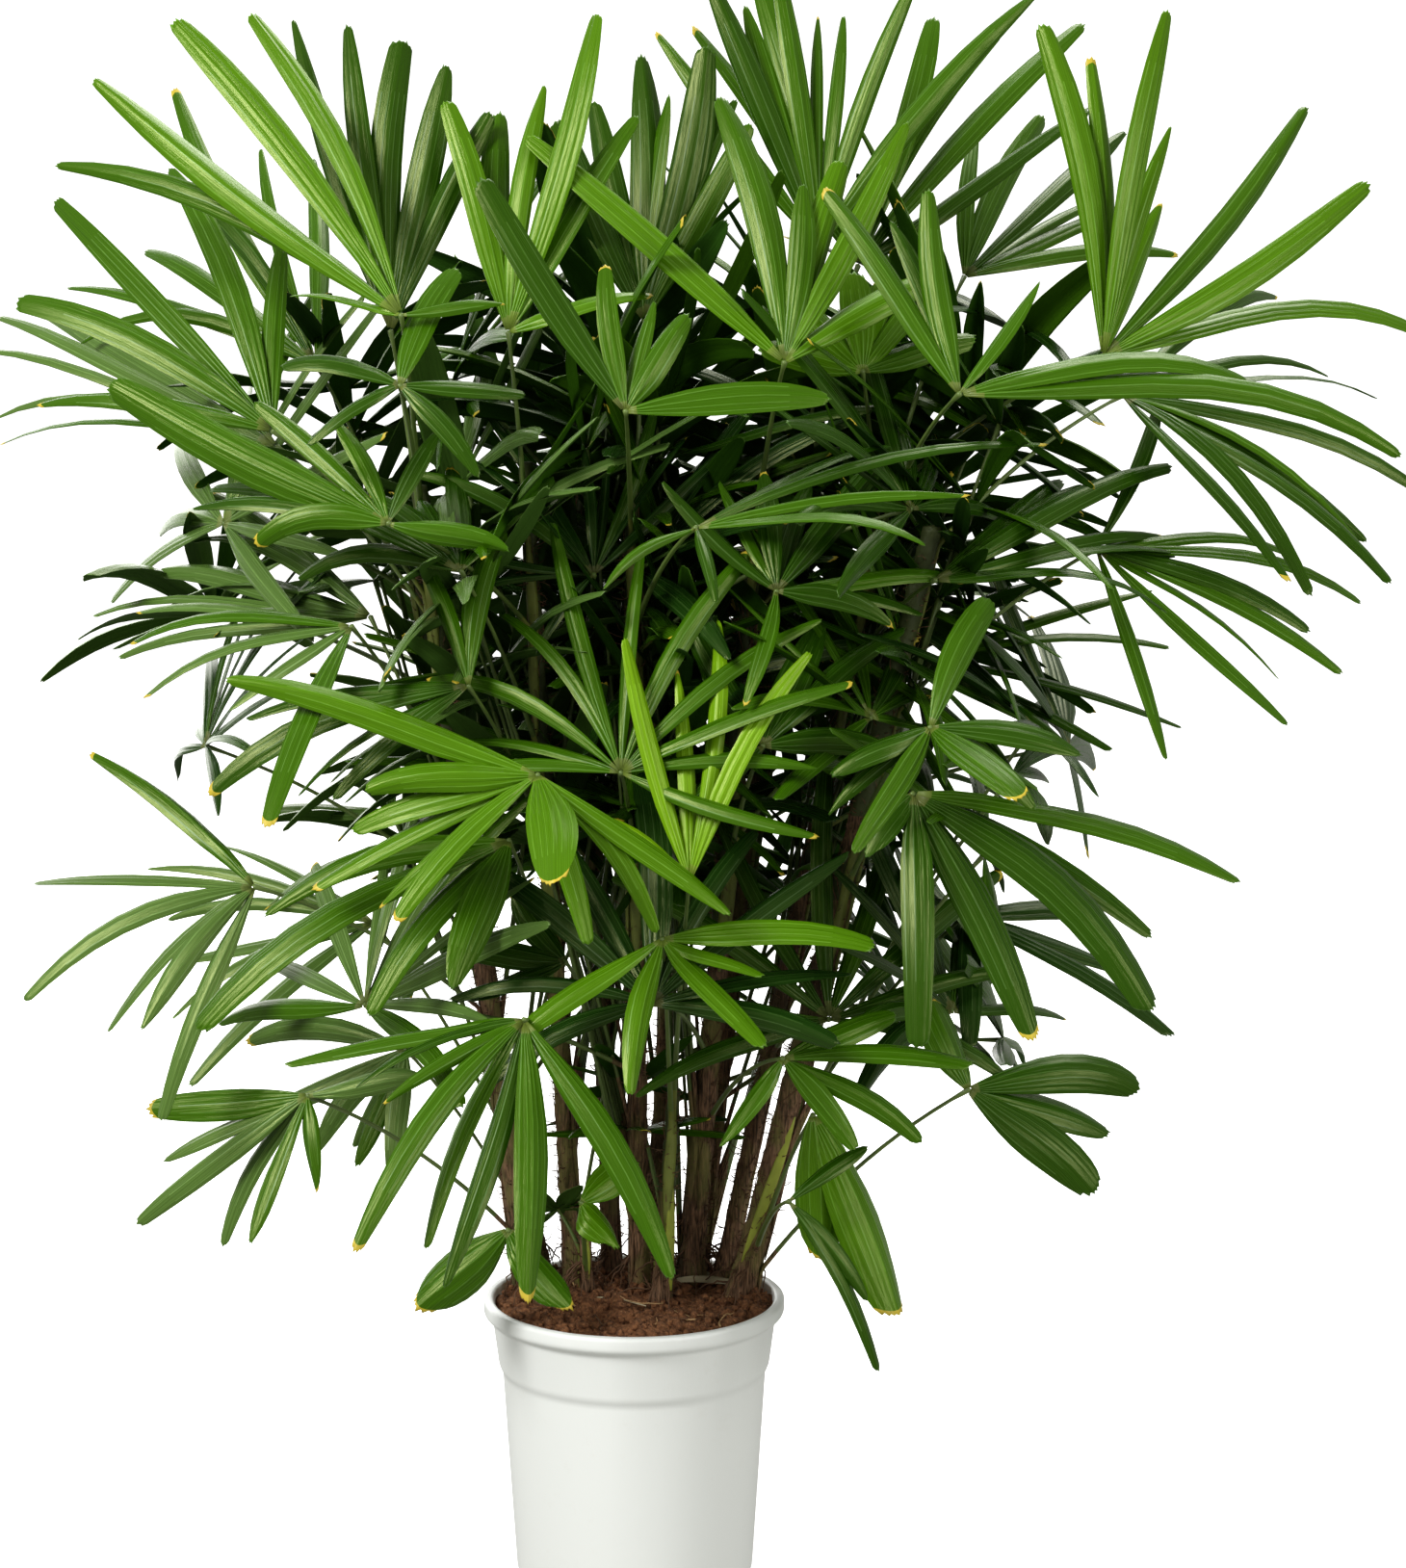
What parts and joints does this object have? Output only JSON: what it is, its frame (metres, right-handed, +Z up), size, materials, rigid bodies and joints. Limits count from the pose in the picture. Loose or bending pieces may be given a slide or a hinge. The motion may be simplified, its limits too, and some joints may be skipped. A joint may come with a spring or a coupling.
{
  "type": "potted lady palm",
  "caption": "Potted lady palm: a clump of slender fibrous canes with fan-shaped fronds of pleated green leaflets, standing in a round white plastic nursery pot of soil.",
  "frame": {"origin": "centre of the pot's flat underside", "axes": "+Z up the plant from the pot's underside, -Y towards the front of the plant, +X to the right as seen from the front"},
  "size_m": [1.1896, 0.8495, 1.2833],
  "materials": {
    "pot": "satin",
    "soil": "matte",
    "cane": "matte",
    "frond": "satin"
  },
  "bodies": {
    "root": {"pot": "pot", "soil": "soil", "cane_left": "cane", "cane_left_rear": "cane", "cane_left_inner": "cane", "cane_middle_rear": "cane", "cane_middle": "cane", "cane_right_inner": "cane", "cane_right_rear": "cane", "cane_right": "cane", "cane_leaning": "cane", "cane_rear": "cane", "cane_cut_short": "cane", "cane_small_shoot": "cane", "cane_low_shoot": "cane", "left_fronds_1": "frond", "left_fronds_2": "frond", "left_fronds_3": "frond", "left_fronds_4": "frond", "left_rear_fronds_1": "frond", "left_rear_fronds_2": "frond", "left_rear_fronds_3": "frond", "left_rear_fronds_4": "frond", "left_inner_fronds_1": "frond", "left_inner_fronds_2": "frond", "left_inner_fronds_3": "frond", "left_inner_fronds_4": "frond", "middle_rear_fronds_1": "frond", "middle_rear_fronds_2": "frond", "middle_rear_fronds_3": "frond", "middle_rear_fronds_4": "frond", "middle_fronds_1": "frond", "middle_fronds_2": "frond", "middle_fronds_3": "frond", "right_inner_fronds_1": "frond", "right_inner_fronds_2": "frond", "right_inner_fronds_3": "frond", "right_rear_fronds_1": "frond", "right_rear_fronds_2": "frond", "right_rear_fronds_3": "frond", "right_rear_fronds_4": "frond", "right_fronds_1": "frond", "right_fronds_2": "frond", "right_fronds_3": "frond", "right_fronds_4": "frond", "leaning_fronds_1": "frond", "leaning_fronds_2": "frond", "leaning_fronds_3": "frond", "leaning_fronds_4": "frond", "rear_fronds_1": "frond", "rear_fronds_2": "frond", "rear_fronds_3": "frond", "rear_fronds_4": "frond", "cut_short_fronds_1": "frond", "small_shoot_fronds_1": "frond", "low_shoot_fronds_1": "frond"}
  },
  "joints": []
}
